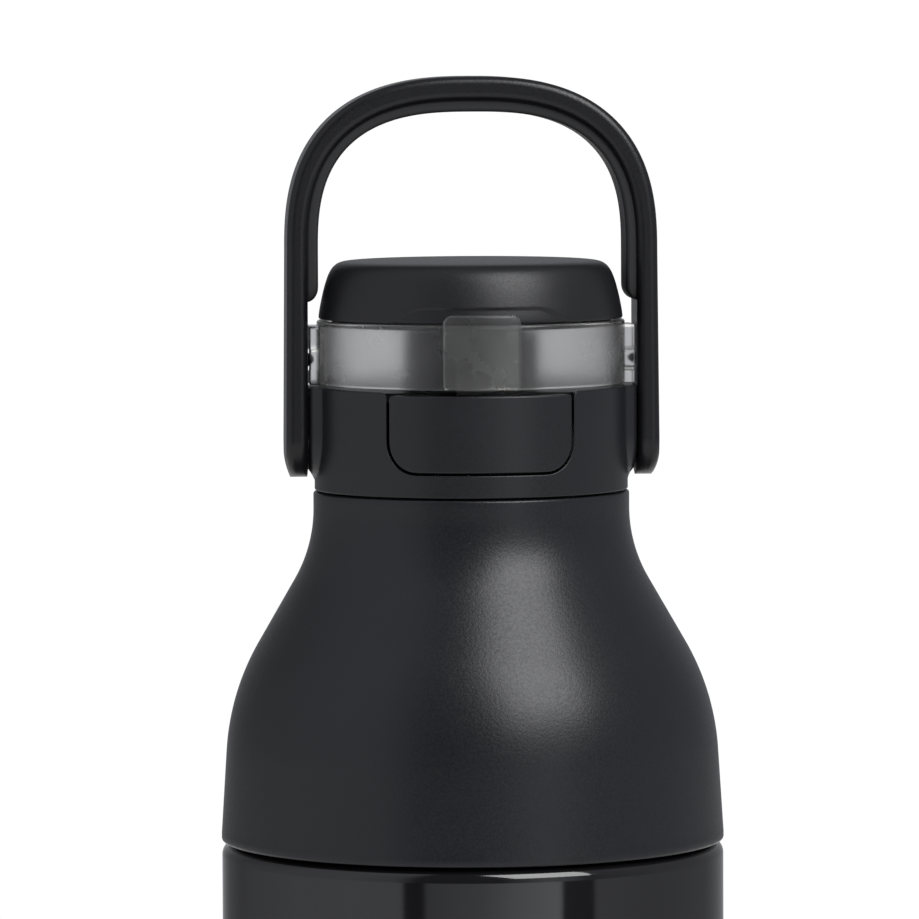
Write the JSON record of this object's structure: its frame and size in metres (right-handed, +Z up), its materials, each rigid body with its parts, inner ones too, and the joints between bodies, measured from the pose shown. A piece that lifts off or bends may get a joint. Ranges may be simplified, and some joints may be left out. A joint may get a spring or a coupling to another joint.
{
  "type": "insulated water bottle",
  "caption": "Double-wall steel bottle with a threaded shoulder collar and a push-button flip lid under a folding bail handle.",
  "frame": {"origin": "centre of the foot's flat bottom face, on the bottle's axis", "axes": "+Z up along the bottle's axis, front with the release button towards -Y, handle legs at +X and -X"},
  "size_m": [0.0736, 0.0736, 0.2619],
  "materials": {
    "gloss_paint": "high-gloss black paint on steel",
    "steel": "satin stainless steel",
    "matte_black": "fine-grained matte black moulding",
    "dark_plastic": "smooth dark moulding",
    "soft_black": "soft-touch black moulding",
    "silicone": "grey food-grade silicone",
    "rubber": "black rubber",
    "frosted": "frosted translucent plastic"
  },
  "bodies": {
    "vessel": {"outer_shell": "gloss_paint", "inner_vessel": "steel", "base_plate": "steel", "vacuum_getter": "steel", "vacuum_seal_cap": "steel", "base_pad": "rubber"},
    "collar_gasket": {"collar_seal": "silicone"},
    "collar": {"collar_shell": "matte_black", "collar_liner": "dark_plastic", "collar_sleeve": "dark_plastic"},
    "lid_gasket": {"lid_seal": "silicone"},
    "lid": {"lid_base": "matte_black", "lid_plug": "dark_plastic", "lid_deck": "dark_plastic", "drinking_spout": "dark_plastic", "clear_band": "frosted", "hinge_pin": "steel", "hinge_spring": "steel", "pivot_pin_left": "steel", "pivot_pin_right": "steel", "button_spring": "steel"},
    "cap": {"flip_cap": "soft_black", "cap_inner": "dark_plastic", "spout_stopper": "silicone"},
    "handle": {"carry_handle": "soft_black", "handle_grip": "rubber"},
    "button": {"release_button": "matte_black", "latch_hook": "steel"}
  },
  "joints": [
    {"name": "collar_lift", "type": "slide", "parent": "vessel", "child": "collar_gasket", "axis": [0, 0, 1], "range_m": [0, 0.012]},
    {"name": "collar_turn", "type": "hinge", "parent": "collar_gasket", "child": "collar", "pos_m": [0, 0, 0.15], "axis": [0, 0, 1], "range_deg": [0, 720]},
    {"name": "lid_lift", "type": "slide", "parent": "collar", "child": "lid_gasket", "axis": [0, 0, 1], "range_m": [0, 0.018]},
    {"name": "lid_turn", "type": "hinge", "parent": "lid_gasket", "child": "lid", "pos_m": [0, 0, 0.2017], "axis": [0, 0, 1], "range_deg": [0, 1080]},
    {"name": "cap_flip", "type": "hinge", "parent": "lid", "child": "cap", "pos_m": [0, 0.018, 0.2108], "axis": [-1, 0, 0], "range_deg": [0, 110]},
    {"name": "handle_fold", "type": "hinge", "parent": "lid", "child": "handle", "pos_m": [0, 0, 0.2091], "axis": [-1, 0, 0], "range_deg": [0, 125]},
    {"name": "button_press", "type": "slide", "parent": "lid", "child": "button", "axis": [0, 1, 0], "range_m": [0, 0.0012], "stiffness_N_per_m": 800}
  ],
  "couplings": [
    {"joint": "collar_lift", "follows": "collar_turn", "m_per_rad": 0.00095492},
    {"joint": "lid_lift", "follows": "lid_turn", "m_per_rad": 0.00095492}
  ]
}
